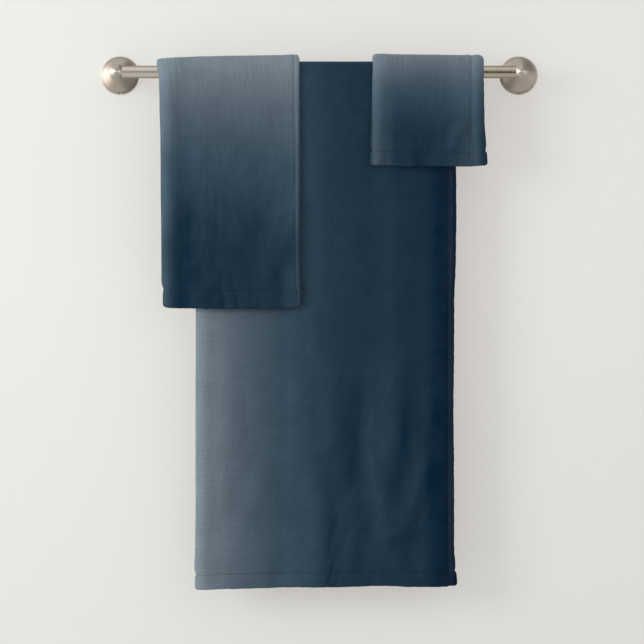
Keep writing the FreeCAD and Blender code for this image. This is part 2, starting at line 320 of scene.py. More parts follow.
WASH = Style(
    name="washcloth",
    front_hem="washcloth_front_face_hem",
    front_body="washcloth_front",
    slot="wash_cloth",
    step=2.2,
    fade=((0.0, 0.02), (0.22, 0.26), (0.44, 0.51), (0.7, 0.735), (1.0, 1.02)),
    sideways=False,
    nap=(
        (0, 0.4), (3, 0.95), (7, 0.9), (13, 0.66), (19, 0.4), (28, 0.24), (34, 0.06), (60, 0.0),
        (108, 0.06), (125, 0.3), (140, 0.36), (146, 0.45), (150, 0.74), (156, 0.62), (164, 0.24),
        (170, 0.08),
    ),
    fold_lean=((0.0, 1.8), (0.6, 0.2), (1.0, -1.4)),
    edge_lean=((-0.05, -1.0), (0.0, -1.6), (0.5, -0.9), (0.85, 1.6), (1.0, 2.8)),
    hem_line=((0.0, -1.0), (0.4, 0.4), (0.75, 0.8), (0.9, 1.2), (1.0, 0.2)),
    top_squeeze=(
        (0.0, 1.04), (0.15, 1.1), (0.3, 1.06), (0.5, 1.02), (0.8, 0.95), (0.88, 1.02), (1.0, 1.14),
    ),
    roll=(3.2, 12.0, 11.0),
    stand_off=2.6,
    free_from=0.0,
    waves=((48.0, 110.0, 1.1), (19.0, 80.0, 0.5)),
    creases=(
        Crease((132, 36), (116, 70), 9.0, 1.8),
        Crease((140, 80), (118, 118), 10.0, 2.2),
        Crease((122, 20), (128, 50), 8.0, -1.2),
        Crease((18, 100), (22, 140), 8.0, -1.6),
        Crease((60, 120), (64, 142), 7.0, 1.2),
    ),
    crumple=0.35,
    hem_bulge=1.6,
    corner=5.0,
    seed=37,
)


class Sheet:
    """A towel folded in half, fold on the left, and laid over the bar. The radii are measured from
    the bar's axis, and half is half the cloth's thickness."""

    def __init__(self, style):
        self.style = style
        bar_low, bar_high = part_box("bar_tube")
        face_low, face_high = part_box(f"{style.name}_back_face")
        under_low, under_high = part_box(f"{style.name}_back_under")
        front_low, front_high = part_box(style.front_hem)
        back_low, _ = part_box(f"{style.name}_back_face_hem")
        self.bar_y = (bar_low[1] + bar_high[1]) / 2
        self.half = (face_high[1] - face_low[1]) / 2
        self.face_r = (face_low[1] + face_high[1]) / 2 - self.bar_y
        self.under_r = (under_low[1] + under_high[1]) / 2 - self.bar_y
        self.inner_r = self.under_r - self.half
        self.fold_r = (self.face_r - self.under_r) / 2
        self.fold_x = face_low[0]
        self.bend_x = self.fold_x + self.fold_r + self.half
        self.face_x = face_high[0] + style.face_spread * MM
        self.under_x = under_high[0]
        self.strip = self.under_x - self.face_x
        self.front_drop = -front_low[2]
        self.back_drop = -back_low[2]
        self.hem = front_high[2] - front_low[2]

    def stations(self, length, marks=(), rims=()):
        """Distances up to length, closer together at stitch lines and along rounded free edges."""
        count = max(2, round(length / (self.style.step * MM)))
        found = list(np.linspace(0.0, length, count + 1))
        for mark in marks:
            found += [mark + offset * MM for offset in MARK_STATIONS]
        for rim in rims:
            found += [abs(rim - share * self.half) for share in RIM_STATIONS]
        found = sorted(value for value in found if 0.0 <= value <= length)
        kept = [found[0]]
        for value in found[1:]:
            if value - kept[-1] > CLOSEST_STATIONS:
                kept.append(value)
        kept[-1] = length
        return np.array(kept)

    def across(self):
        """Stations from the under layer's free edge, round the fold, to the face's free edge."""
        under = self.stations(self.under_x - self.bend_x, marks=(self.strip,), rims=(0.0,))
        face_length = self.face_x - self.bend_x
        seam = face_length - STITCH_SIDE_INSET
        face = self.stations(face_length, marks=(seam,), rims=(face_length,))
        turn = np.linspace(0.0, math.pi, FOLD_STATIONS + 2)[1:-1]
        return self.section(under, turn, face)

    def section(self, under, turn, face):
        """The line of its section, as columns: x, radius (r), outward normal (nx, nr), distance from
        a free edge and length so far (run)."""
        middle = (self.face_r + self.under_r) / 2
        bend = self.under_x - self.bend_x + turn * self.fold_r
        start = self.under_x - self.bend_x + math.pi * self.fold_r
        face_length = self.face_x - self.bend_x
        turn_x = self.bend_x - self.fold_r * np.sin(turn)
        turn_r = middle - self.fold_r * np.cos(turn)
        lines = {
            "x": np.r_[self.under_x - under, turn_x, self.bend_x + face],
            "r": np.r_[under * 0 + self.under_r, turn_r, face * 0 + self.face_r],
            "nx": np.r_[under * 0, -np.sin(turn), face * 0],
            "nr": np.r_[under * 0 - 1, -np.cos(turn), face * 0 + 1],
            "edge": np.r_[under, turn * 0 + 1, face_length - face],
            "run": np.r_[under, bend, start + face],
        }
        return {key: line[:, None] for key, line in lines.items()}

    def along(self):
        """Stations from the front hem up over the bar and down to the back hem."""
        front = self.stations(self.front_drop, marks=(self.hem,), rims=(0.0,))
        back = self.stations(self.back_drop, marks=(self.hem,), rims=(0.0,))
        turn = np.linspace(math.pi, 0.0, ARCH_STATIONS + 2)[1:-1]
        return self.hang(front, turn, back[::-1])

    def hang(self, front, turn, back):
        """The line of its drop, as rows: angle round the bar, drop below its axis, share of the drop
        (a little below 0 on the arch), distance from the hem's edge (end), length so far (run), and
        1 in front."""
        arch = self.front_drop + (math.pi - turn) * self.face_r
        rear = self.front_drop + math.pi * self.face_r + self.back_drop - back
        above = -0.05 * np.sin(turn)
        lines = {
            "angle": np.r_[front * 0 + math.pi, turn, back * 0],
            "drop": np.r_[self.front_drop - front, turn * 0, self.back_drop - back],
            "share": np.r_[1 - front / self.front_drop, above, 1 - back / self.back_drop],
            "end": np.r_[front, turn * 0 + 1, back],
            "run": np.r_[front, arch, rear],
            "front": np.r_[front * 0 + 1, turn * 0, back * 0],
        }
        return {key: line[None, :] for key, line in lines.items()}


def drape(sheet, x, drop, share, front):
    """How far the whole towel stands out from where it would hang flat."""
    style = sheet.style
    mm_x, mm_drop = (x - sheet.fold_x) / MM, drop / MM
    free = smooth((mm_drop - style.free_from) / FREE_FADE)
    depth = style.stand_off * smooth(share) * front + 0 * mm_x
    for index, (cell_x, cell_z, height) in enumerate(style.waves):
        front_wave = noise(mm_x, mm_drop, cell_x, cell_z, style.seed + index)
        back_wave = noise(mm_x, mm_drop, cell_x, cell_z, style.seed + 50 + index)
        wave = front_wave * front + BACK_WAVES * back_wave * (1 - front)
        depth = depth + height * free * wave
    for crease in style.creases:
        depth = depth + free * front * ridge(mm_x, mm_drop, crease)
    faint = 0.45 * noise(mm_x, mm_drop, 15.0, 130.0, style.seed + 7)
    wrinkles = crumple(style, mm_x, mm_drop) * (HELD_CRUMPLE + (1 - HELD_CRUMPLE) * free)
    depth = depth + faint * smooth(share * 4.0) + wrinkles
    if style.free_from == 0.0:
        depth = np.maximum(depth, 0.0)
    return depth * MM


def crumple(style, x, drop):
    """Small uneven wrinkles, which lean this way and that."""
    sway = 26.0 * noise(x, drop, 60.0, 90.0, style.seed + 20)
    fine = noise(x + sway + 0.25 * drop, drop - 0.4 * x, 17.0, 60.0, style.seed + 21)
    broad = noise(x - sway - 0.2 * drop, drop + 0.5 * x, 38.0, 95.0, style.seed + 22)
    return style.crumple * (0.6 * (1 - 2 * np.abs(fine)) + broad)


def ridge(x, drop, crease):
    """The height of one crease at each point."""
    (x0, drop0), (x1, drop1) = crease.start, crease.end
    along_x, along_drop = x1 - x0, drop1 - drop0
    reach = ((x - x0) * along_x + (drop - drop0) * along_drop) / (along_x**2 + along_drop**2)
    near = np.clip(reach, 0.0, 1.0)
    gap = np.hypot(x - x0 - near * along_x, drop - drop0 - near * along_drop)
    return crease.height * np.exp(-((gap / crease.width) ** 2))


def relief(sheet, section, hang, x):
    """What stands proud of the cloth's outer side: hems, stitch grooves, puckers and the soft roll
    beside the fold."""
    style = sheet.style
    face = (1 + section["nr"]) / 2
    end, drop = hang["end"], hang["drop"] / MM
    mm_x = (x - sheet.fold_x) / MM
    in_hem = sheet.hem - end
    hem = HEM_THICKNESS * smooth(in_hem / (1.5 * MM) + 0.5)
    groove = bell(end, sheet.hem, STITCH_GROOVE)
    pucker = 0.35 * line_noise(mm_x, 5.5, style.seed + 3) * bell(end, sheet.hem, 9.0 * MM)
    gather = 0.3 * line_noise(mm_x, 11.0, style.seed + 4) * smooth(in_hem / (8 * MM))
    side = section["edge"]
    seam = bell(side, STITCH_SIDE_INSET, STITCH_GROOVE) * face
    bead = 0.2 * bell(side, BEAD, BEAD) * face
    height, place, width = style.roll
    swell = 1.0 + 0.25 * line_noise(drop, 60.0, style.seed + 5)
    roll = height * swell * bell(mm_x, place, width) * face * smooth(drop / 25.0 + 0.35)
    down = np.minimum(groove + 0.4 * seam, 1.0) * STITCH_DEPTH / MM
    return (hem + pucker + gather + bead + roll - down) * MM


def place_x(sheet, section, hang):
    """Where each point lies across, with the lean of the edges, the pinch above each hem, its bulge,
    the wavering of the free edge and rounded corners."""
    style = sheet.style
    base = section["x"] + 0 * hang["drop"]
    share, end = hang["share"], hang["end"]
    run = hang["run"] / MM
    part = (base - sheet.fold_x) / (sheet.under_x - sheet.fold_x)
    lean = curve(share, style.fold_lean) * (1 - part) + curve(share, style.edge_lean) * part
    near_fold = smooth(1 - (base - sheet.fold_x) / FOLD_REACH)
    free = section["edge"] + 0 * base
    under = (1 - section["nr"]) / 2
    near_edge = smooth(1 - free / EDGE_REACH) * under
    pinch = bell(end, sheet.hem + 1 * MM, 4 * MM) - 0.9 * bell(end, sheet.hem + 16 * MM, 12 * MM)
    bulge = style.hem_bulge * smooth((sheet.hem - end) / (5 * MM) + 0.4)
    behind = BACK_INSET * (1 - hang["front"]) * smooth(share * 3)
    rough = 0.32 * line_noise(run, 3.2, style.seed + 9)
    slow = 0.25 * line_noise(run, 60.0, style.seed + 10)
    rounding = corner(end, style.corner * MM)
    face_rounding = corner(end, FACE_CORNER) * smooth(1 - free / (12 * MM)) * (1 - under)
    shift = lean + behind * (1 - 2 * part) + near_edge * (bulge - 0.7 * pinch + rough + slow)
    shift = shift + near_fold * (1.1 * pinch + 0.5 * slow + rounding)
    shift = shift - near_edge * rounding - face_rounding
    return base + shift * MM


def corner(end, radius):
    """How far a rounded corner draws in, in millimetres."""
    reach = np.clip(radius - end, 0.0, radius)
    return (radius - np.sqrt(np.maximum(radius**2 - reach**2, 0.0))) / MM


def surface(sheet, section, hang):
    """Both sides of the cloth over a grid of stations, and the direction it faces."""
    style = sheet.style
    x = place_x(sheet, section, hang)
    drop, share = hang["drop"], hang["share"]
    front, end = hang["front"], hang["end"]
    nx, nr = section["nx"], section["nr"]
    part = (x - sheet.fold_x) / (sheet.under_x - sheet.fold_x)
    standing = section["r"] + drape(sheet, x, drop, share, front)
    rim = rounded(section["edge"], sheet.half) * rounded(end, sheet.half)
    outer = (sheet.half + relief(sheet, section, hang, x)) * rim
    inner = (sheet.half + strip_roll(sheet, section)) * rim
    angle = hang["angle"]
    squeeze = 1 + (curve(part, style.top_squeeze) - 1) * np.sin(angle) ** 0.7
    extra_drop = curve(part, style.hem_line) * MM * smooth(share * 1.6 - 0.6)
    ripple = 0.35 * MM * line_noise(x / MM, 6.0, style.seed + 12) * smooth(1 - end / (8 * MM))
    under_short = 0.8 * MM * (1 - nr) / 2 * smooth(share)
    sides = []
    for depth in (outer, -inner):
        radius = standing + depth * nr
        radius = sheet.inner_r + (radius - sheet.inner_r) * squeeze
        y = sheet.bar_y + radius * np.cos(angle)
        z = radius * np.sin(angle) - drop - extra_drop - ripple + under_short
        sides.append(np.stack([x + depth * nx, y, z], axis=-1))
    facing = np.stack([nx + 0 * angle, nr * np.cos(angle), nr * np.sin(angle)], axis=-1)
    return sides[0], sides[1], facing


def rounded(distance, half):
    """The share of the cloth's thickness left near a free edge, so the edge is round."""
    reach = np.clip(1 - distance / (1.4 * half), 0.0, 1.0)
    return np.sqrt(1 - reach**2)


def strip_roll(sheet, section):
    """The under layer's free edge is rolled up beside the face, nearly level with it, and tucks in
    beneath the face's rounded edge."""
    edge = section["edge"]
    under = np.clip(-section["nr"], 0.0, 1.0)
    share = np.clip(edge / sheet.strip, 0.0, 1.0)
    crown = 0.8 + 0.2 * np.sin(math.pi * share)
    outside = np.sin(math.pi / 2 * np.clip(share / 0.55, 0.0, 1.0)) ** 0.7
    tucked = 1 - smooth((edge - sheet.strip) / TUCK_REACH)
    rise = sheet.face_r - sheet.under_r - LEVEL_GAP
    return rise * crown * outside * tucked * under


def colour_place(sheet, x, run):
    """Where each point lies on the shared colour scale."""
    style = sheet.style
    if style.sideways:
        share = (x - sheet.fold_x) / (sheet.face_x - sheet.fold_x)
        return np.interp(share, *zip(*style.fade)) + 0 * run
    top = sheet.front_drop + math.pi * sheet.face_r / 2
    share = np.clip(np.abs(run - top) / top, 0.0, 1.0)
    return np.interp(share, *zip(*style.fade)) + 0 * x


def paint_light_and_shade(sheet, hang, x, run):
    """Painted light and shade on the cloth, with a faint random mottle: a painted highlight along the fold,
    on the rolled edge and up one flank of each crease, and painted shade where the table falls below 0."""
    style = sheet.style
    along = np.interp((x - sheet.fold_x) / MM, *zip(*style.nap))
    drift = 1.0 + 0.2 * line_noise(run / MM, 45.0, style.seed + 6)
    mottle = 0.035 * noise(x / MM, run / MM, 9.0, 14.0, style.seed + 8)
    keys = ("drop", "share", "front")
    drop, share, front = (np.broadcast_to(hang[key], x.shape) for key in keys)
    depth = drape(sheet, x, drop, share, front)
    left_flank = drape(sheet, x + PAINTED_SLOPE_STEP, drop, share, front) - depth
    upper_flank = drape(sheet, x, drop + PAINTED_SLOPE_STEP, share, front) - depth
    # painted light on slopes that face up and to the left, towards the key light, and painted shade on those
    # facing away
    flank = 0.85 * left_flank + 0.5 * upper_flank
    return along * drift + mottle + PAINTED_CREASE_LIGHT * flank / PAINTED_SLOPE_STEP


def add_float(mesh, name, values):
    """Adds a value for each vertex, which materials read by its name."""
    attribute = mesh.attributes.new(name, "FLOAT", "POINT")
    attribute.data.foreach_set("value", np.asarray(values, np.float32).ravel())


def add_object(name, data):
    thing = bpy.data.objects.new(name, data)
    bpy.context.scene.collection.objects.link(thing)
    return thing


def new_piece(name, vertices, faces, uv=None):
    """A smooth mesh object, with a UV map in metres where uv is given for each vertex."""
    mesh = bpy.data.meshes.new(name)
    mesh.from_pydata(vertices.reshape(-1, 3).tolist(), [], faces.tolist())
    mesh.polygons.foreach_set("use_smooth", [True] * len(mesh.polygons))
    if uv is not None:
        corners = np.empty(len(mesh.loops), np.int32)
        mesh.loops.foreach_get("vertex_index", corners)
        layer = mesh.uv_layers.new(name="cloth")
        layer.data.foreach_set("uv", uv.reshape(-1, 2)[corners].astype(np.float32).ravel())
    mesh.update()
    return add_object(name, mesh)


def closed_faces(rows, columns):
    """Quads of a closed skin: two grids of rows by columns that share the vertices of their rim."""
    outer = np.arange(rows * columns).reshape(rows, columns)
    inner = outer.copy()
    own = np.arange((rows - 2) * (columns - 2)).reshape(rows - 2, columns - 2)
    inner[1:-1, 1:-1] = rows * columns + own
    quads = []
    for grid, flip in ((outer, False), (inner, True)):
        corners = [grid[:-1, :-1], grid[1:, :-1], grid[1:, 1:], grid[:-1, 1:]]
        quad = np.stack(corners, axis=-1).reshape(-1, 4)
        quads.append(quad[:, ::-1] if flip else quad)
    return np.concatenate(quads)


def both_sides(grid):
    """A value for each station, for the vertices of both sides, in the order of closed_faces."""
    tail = grid.shape[2:]
    return np.concatenate([grid.reshape(-1, *tail), grid[1:-1, 1:-1].reshape(-1, *tail)])


def towel_cloth(sheet, material):
    """One closed mesh of the whole towel, and 1 for each of its vertices in front."""
    section, hang = sheet.across(), sheet.along()
    outer, inner, _ = surface(sheet, section, hang)
    rows, columns = outer.shape[:2]
    vertices = np.concatenate([outer.reshape(-1, 3), inner[1:-1, 1:-1].reshape(-1, 3)])
    run = np.broadcast_to(hang["run"], (rows, columns))
    uv = np.stack([np.broadcast_to(section["run"], run.shape), run], axis=-1)
    faces = closed_faces(rows, columns)
    piece = new_piece(f"{sheet.style.name}_cloth", vertices, faces, both_sides(uv))
    x = outer[..., 0]
    add_float(piece.data, "ombre", both_sides(colour_place(sheet, x, run)) / OMBRE_END)
    # painted light and shade for each vertex
    add_float(piece.data, "nap", both_sides(paint_light_and_shade(sheet, hang, x, run)))
    piece.data.materials.append(material)
    front = np.broadcast_to(hang["front"], run.shape)
    return piece, both_sides(front)


# ---- Stitching


def stitch_line(sheet, section, hang):
    """Start, end, facing and colour of each stitch along a line of the cloth, two stations to a
    stitch, and 1 for each in front."""
    outer, _, facing = surface(sheet, section, hang)
    points = outer.reshape(-1, 3)
    x = outer[..., 0]
    run = np.broadcast_to(hang["run"], x.shape)
    colour = colour_place(sheet, x, run).ravel() / OMBRE_END
    front = np.broadcast_to(hang["front"], x.shape).ravel()
    return points[0::2], points[1::2], facing.reshape(-1, 3)[0::2], colour[0::2], front[0::2]


def pairs(length, margin):
    """Where each stitch starts and ends along a line."""
    starts = np.arange(margin, length - margin - STITCH_LENGTH, STITCH_PITCH)
    return np.stack([starts, starts + STITCH_LENGTH], axis=-1).ravel()


def seam_lines(sheet):
    """The stitch lines of both hems and of the side seam."""
    none = np.array([])
    face_length = sheet.face_x - sheet.bend_x
    hem_face = sheet.section(none, none, pairs(face_length, 2 * MM))
    hem_at = np.array([sheet.hem])
    front_hem = sheet.hang(hem_at, none, none)
    back_hem = sheet.hang(none, none, hem_at)
    side = sheet.section(none, none, np.array([face_length - STITCH_SIDE_INSET]))
    margin = 1.5 * MM
    arch = pairs(math.pi * sheet.face_r, margin) / sheet.face_r
    back = pairs(sheet.back_drop, margin)[::-1]
    down = sheet.hang(pairs(sheet.front_drop, margin), math.pi - arch, back)
    return [(hem_face, front_hem), (hem_face, back_hem), (side, down)]


def stitching(sheet, material):
    """All of a towel's stitches as one mesh of small rounded threads, and 1 for each of its vertices
    in front."""
    lines = [stitch_line(sheet, section, hang) for section, hang in seam_lines(sheet)]
    start, end, facing, colour, front = [np.concatenate(parts) for parts in zip(*lines)]
    along = end - start
    length = np.linalg.norm(along, axis=-1, keepdims=True)
    along = along / length
    side = np.cross(facing, along)
    side = side / np.linalg.norm(side, axis=-1, keepdims=True)
    up = np.cross(along, side)
    rings = []
    for share, width in STITCH_RINGS:
        lift = (0.25 + 0.55 * math.sin(math.pi * share)) * STITCH_RADIUS
        centre = start + along * length * share + up * lift
        for turn in np.arange(STITCH_SIDES) * 2 * math.pi / STITCH_SIDES:
            spoke = side * math.cos(turn) + up * math.sin(turn)
            rings.append(centre + spoke * width * STITCH_RADIUS)
    vertices = np.stack(rings, axis=1)
    count = vertices.shape[1]
    faces = thread_faces(len(STITCH_RINGS), STITCH_SIDES)
    offsets = (np.arange(len(start)) * count)[:, None, None]
    quads = (faces[None] + offsets).reshape(-1, 4)
    piece = new_piece(f"{sheet.style.name}_stitching", vertices, quads)
    add_float(piece.data, "ombre", np.repeat(colour, count))
    piece.data.materials.append(material)
    return piece, np.repeat(front, count)


def thread_faces(rings, sides):
    """Quads of one thread: its wall, and its two ends, each six sided ring closed by two quads."""
    faces = []
    for ring in range(rings - 1):
        for side in range(sides):
            after = (side + 1) % sides
            low, high = ring * sides, (ring + 1) * sides
            faces.append([low + side, low + after, high + after, high + side])
    last = (rings - 1) * sides
    faces += [[3, 2, 1, 0], [5, 4, 3, 0]]
    faces += [[last + i for i in (0, 1, 2, 3)], [last + i for i in (0, 3, 4, 5)]]
    return np.array(faces)


# ---- Materials


class Nodes:
    """A short way to write nodes."""

    def __init__(self, tree):
        self.tree = tree

    def add(self, kind, inputs=None, **settings):
        node = self.tree.nodes.new(kind)
        for key, value in settings.items():
            setattr(node, key, value)
        for key, value in (inputs or {}).items():
            self.give(node.inputs[key], value)
        return node

    def give(self, socket, value):
        if isinstance(value, bpy.types.NodeSocket):
            self.tree.links.new(value, socket)
        else:
            socket.default_value = value

    def math(self, operation, *values):
        node = self.add("ShaderNodeMath", operation=operation)
        for socket, value in zip(node.inputs, values):
            self.give(socket, value)
        return node.outputs[0]

    def carry(self, value, start, end, low=0.0, high=1.0, kind="LINEAR"):
        """A value carried from the range start to end into the range low to high."""
        inputs = {"Value": value, "From Min": start, "From Max": end, "To Min": low, "To Max": high}
        return self.add("ShaderNodeMapRange", inputs, interpolation_type=kind).outputs[0]

    def spread(self, value, low, high):
        """A 0 to 1 value carried into the range low to high."""
        return self.carry(value, 0.0, 1.0, low, high)

    def split(self, vector):
        """A vector's three parts."""
        return self.add("ShaderNodeSeparateXYZ", {"Vector": vector}).outputs

    def noise(self, vector, scale, detail=2.0):
        inputs = {"Vector": vector, "Scale": scale, "Detail": detail}
        return self.add("ShaderNodeTexNoise", inputs).outputs[0]

    def stretch(self, vector, scale):
        return self.add("ShaderNodeMapping", {"Vector": vector, "Scale": scale}).outputs[0]

    def mix(self, share, first, second, blend="MIX", **settings):
        """Mixes two colours, by the share, first and second colour sockets of Blender's Mix node."""
        node = self.add("ShaderNodeMix", data_type="RGBA", blend_type=blend, **settings)
        for socket, value in zip((0, 6, 7), (share, first, second)):
            self.give(node.inputs[socket], value)
        return node.outputs[2]

    def grey(self, value):
        node = self.add("ShaderNodeCombineColor")
        for socket in node.inputs[:3]:
            self.give(socket, value)
        return node.outputs[0]

    def shaded(self, colour, shade):
        """A colour times a single value."""
        return self.mix(1.0, colour, self.grey(shade), "MULTIPLY")


class MaterialNodes(Nodes):
    """The nodes of a new material, round its Principled shader."""

    def __init__(self, name):
        self.material = bpy.data.materials.new(name)
        self.material.use_nodes = True
        super().__init__(self.material.node_tree)
        self.shader = self.tree.nodes["Principled BSDF"]

    def place(self):
        """Each point's place in the piece's own frame."""
        return self.add("ShaderNodeTexCoord").outputs["Object"]

    def brush(self, axis, amount, rotation=0.0):
        """Draws highlights out across marks that run round an axis."""
        tangent = self.add("ShaderNodeTangent", direction_type="RADIAL", axis=axis).outputs[0]
        self.set(Tangent=tangent, Anisotropic=amount, Anisotropic_Rotation=rotation)

    def bump(self, height, distance, strength):
        inputs = {"Height": height, "Distance": distance, "Strength": strength}
        self.give(self.shader.inputs["Normal"], self.add("ShaderNodeBump", inputs).outputs[0])

    def set(self, **values):
        """Sets the shader's sockets by name, with underscores for spaces."""
        for key, value in values.items():
            self.give(self.shader.inputs[key.replace("_", " ")], value)


def ombre_ramp(nodes, strength):
    """The dye's colour at each point, from the ombre attribute, less the sheen that is seen over it."""
    place = nodes.add("ShaderNodeAttribute", attribute_name="ombre").outputs["Fac"]
    ramp = nodes.add("ShaderNodeValToRGB", {"Fac": place})
    stops = ramp.color_ramp.elements
    while len(stops) < len(OMBRE):
        stops.new(0.5)
    for stop, (position, *display) in zip(stops, OMBRE):
        seen = [max(linear(channel) - haze, DARKEST_DYE) for channel, haze in zip(display, HAZE)]
        stop.position = position / OMBRE_END
        stop.color = (*[channel * strength for channel in seen], 1.0)
    return ramp.outputs["Color"]


def cloth_material(name, across, along, rib_share, streak):
    """Terry cloth: dyed colour with streaks and flecks, a ribbed pile and a soft sheen. across and
    along are the rows of pile in each metre, rib_share is how much the cross rows show, and streak
    how far the rows differ in colour."""
    nodes = MaterialNodes(name)
    uv = nodes.add("ShaderNodeUVMap", uv_map="cloth").outputs[0]
    parts = nodes.split(uv)
    wavering = nodes.math("MULTIPLY", nodes.noise(uv, 90.0), 0.0016)
    rows = row_wave(nodes, parts[0], wavering, across)
    lines = row_wave(nodes, parts[1], wavering, along)
    ribs = blend_values(nodes, rows, lines, rib_share)
    streaks = nodes.noise(nodes.stretch(uv, (across, across * 0.04, 1.0)), 1.0)
    bars = nodes.noise(nodes.stretch(uv, (along * 0.05, along, 1.0)), 1.0)
    grain = blend_values(nodes, streaks, bars, rib_share)
    pile = nodes.noise(uv, 1300.0, detail=3.0)
    tufts = nodes.noise(uv, 330.0)
    patches = nodes.noise(uv, 22.0, detail=3.0)
    grain_shade = nodes.spread(grain, 1 - streak, 1 + streak)
    fleck = nodes.math("MULTIPLY", grain_shade, nodes.spread(pile, 0.8, 1.2))
    patch_shade = nodes.spread(patches, 0.86, 1.14)
    cloud = nodes.math("MULTIPLY", nodes.spread(tufts, 0.78, 1.22), patch_shade)
    dye = nodes.shaded(ombre_ramp(nodes, DYE_STRENGTH), nodes.math("MULTIPLY", fleck, cloud))
    # Painted light and shade: the attribute adds a painted highlight colour to the dye, or takes it away as
    # painted shade
    nap = nodes.add("ShaderNodeAttribute", attribute_name="nap").outputs["Fac"]
    dye_with_painted_light = nodes.mix(nap, dye, PAINTED_HIGHLIGHT_TINT, "ADD", clamp_factor=False, clamp_result=True)
    loops = nodes.math("MULTIPLY_ADD", pile, 1.2, tufts)
    height = nodes.math("MULTIPLY_ADD", grain, 1.4, nodes.math("MULTIPLY_ADD", ribs, 0.2, loops))
    nodes.bump(height, distance=0.0008, strength=0.8)
    nodes.set(Base_Color=dye_with_painted_light, Roughness=nodes.spread(pile, 0.84, 0.98), Specular_IOR_Level=0.08)
    nodes.set(Sheen_Weight=0.1, Sheen_Roughness=0.4, Sheen_Tint=(0.5, 0.8, 1.0, 1.0))
    return nodes.material


def row_wave(nodes, distance, wavering, each_metre):
    """Rows of pile, a wave that wanders a little."""
    place = nodes.math("ADD", distance, wavering)
    return nodes.math("SINE", nodes.math("MULTIPLY", place, each_metre * math.tau))


def blend_values(nodes, first, second, share):
    """Two values mixed, with the given share of the second."""
    return nodes.math("MULTIPLY_ADD", first, 1 - share, nodes.math("MULTIPLY", second, share))


def thread_material():
    """Sewing thread dyed with the cloth, smoother than the pile."""
    nodes = MaterialNodes("thread")
    twist = nodes.noise(nodes.place(), 2600.0)
    colour = nodes.shaded(ombre_ramp(nodes, THREAD_STRENGTH), nodes.spread(twist, 0.7, 1.25))
    nodes.bump(twist, distance=0.0002, strength=0.6)
    nodes.set(Base_Color=colour, Roughness=nodes.spread(twist, 0.6, 0.8), Specular_IOR_Level=0.15)
    return nodes.material


def bar_metal():
    """Brushed nickel, brushed along the bar and a little darker and browner towards its right end."""
    nodes = MaterialNodes("brushed_nickel_bar")
    place = nodes.place()
    lines = nodes.noise(nodes.stretch(place, (14.0, 2600.0, 2600.0)), 1.0, detail=3.0)
    smudge = nodes.noise(nodes.stretch(place, (16.0, 60.0, 60.0)), 1.0)
    share = nodes.carry(nodes.split(place)[0], *DARKENING_FROM_TO)
    colour = nodes.mix(share, nodes.mix(lines, *LIGHTER_NICKEL), nodes.mix(lines, *DARKER_NICKEL))
    rough = nodes.math("ADD", nodes.spread(lines, 0.15, 0.24), nodes.spread(smudge, -0.03, 0.05))
    nodes.bump(lines, distance=0.00003, strength=0.5)
    nodes.set(Base_Color=colour, Metallic=1.0, Roughness=rough)
    nodes.brush("X", 0.6)
    return nodes.material


def turned_metal(name, centre_x, colours, roughness, swirl=0.0):
    """Metal turned on a lathe about the lines through centre_x on both sides of the middle, with
    fine rings round them. swirl is how strongly the rings draw its highlights out into spokes."""
    nodes = MaterialNodes(name)
    place = nodes.place()
    x, y, z = nodes.split(place)
    aside = nodes.math("SUBTRACT", nodes.math("ABSOLUTE", x), centre_x)
    square = nodes.math("MULTIPLY", aside, aside)
    radius = nodes.math("SQRT", nodes.math("MULTIPLY_ADD", z, z, square))
    ring = nodes.add("ShaderNodeCombineXYZ", {"X": radius, "Y": y}).outputs[0]
    rings = nodes.noise(ring, 420.0, detail=4.0)
    smudge = nodes.noise(place, 70.0, detail=3.0)
    change = nodes.math("ADD", nodes.spread(rings, -0.08, 0.08), nodes.spread(smudge, -0.04, 0.05))
    nodes.bump(rings, distance=0.0001, strength=0.6)
    rough = nodes.math("ADD", change, roughness)
    nodes.set(Base_Color=nodes.mix(rings, *colours), Metallic=1.0, Roughness=rough)
    nodes.brush("Y", swirl, rotation=0.25)
    return nodes.material


def cast_metal():
    """Grey zinc casting with a slightly pitted skin."""
    nodes = MaterialNodes("cast_zinc_skin")
    place = nodes.place()
    grain = nodes.noise(place, 900.0, detail=4.0)
    cloud = nodes.noise(place, 60.0, detail=3.0)
    nodes.bump(grain, distance=0.00012, strength=0.7)
    nodes.set(Base_Color=nodes.mix(cloud, *CAST_ZINC), Metallic=0.9)
    nodes.set(Roughness=nodes.spread(grain, 0.42, 0.62))
    return nodes.material


def plug_material():
    """Grey nylon, faintly mottled."""
    nodes = MaterialNodes("nylon_plug")
    place = nodes.place()
    grain = nodes.noise(place, 1600.0)
    cloud = nodes.noise(place, 140.0, detail=3.0)
    nodes.bump(grain, distance=0.00008, strength=0.5)
    nodes.set(Base_Color=nodes.mix(cloud, *GREY_NYLON), Roughness=nodes.spread(grain, 0.42, 0.58))
    return nodes.material


def finish_hardware():
    """Gives each carried-over metal and plastic part its finish."""
    post_low, post_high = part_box("right_post")
    centre_x = (post_low[0] + post_high[0]) / 2
    finishes = {
        "bar_tube": bar_metal(),
        "post": turned_metal("brushed_nickel_post", centre_x, POST_NICKEL, roughness=0.46, swirl=0.9),
        "wall_bracket": cast_metal(),
        "set_screw": turned_metal("blackened_screw", centre_x, BLACKENED_STEEL, roughness=0.4),
        "wall_screws": turned_metal("plated_screw", centre_x, PLATED_STEEL, roughness=0.3),
        "wall_plugs": plug_material(),
    }
    for name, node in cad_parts.items():
        for ending, material in finishes.items():
            if name.endswith(ending):
                for slot in node.material_slots:
                    slot.material = material


# ---- The room


def plane(name, corners, material):
    """One flat surface of the room, which isn't part of the object."""
    mesh = bpy.data.meshes.new(name)
    mesh.from_pydata(corners, [], [(0, 1, 2, 3)])
    mesh.materials.append(material)
    piece = add_object(name, mesh)
    return piece


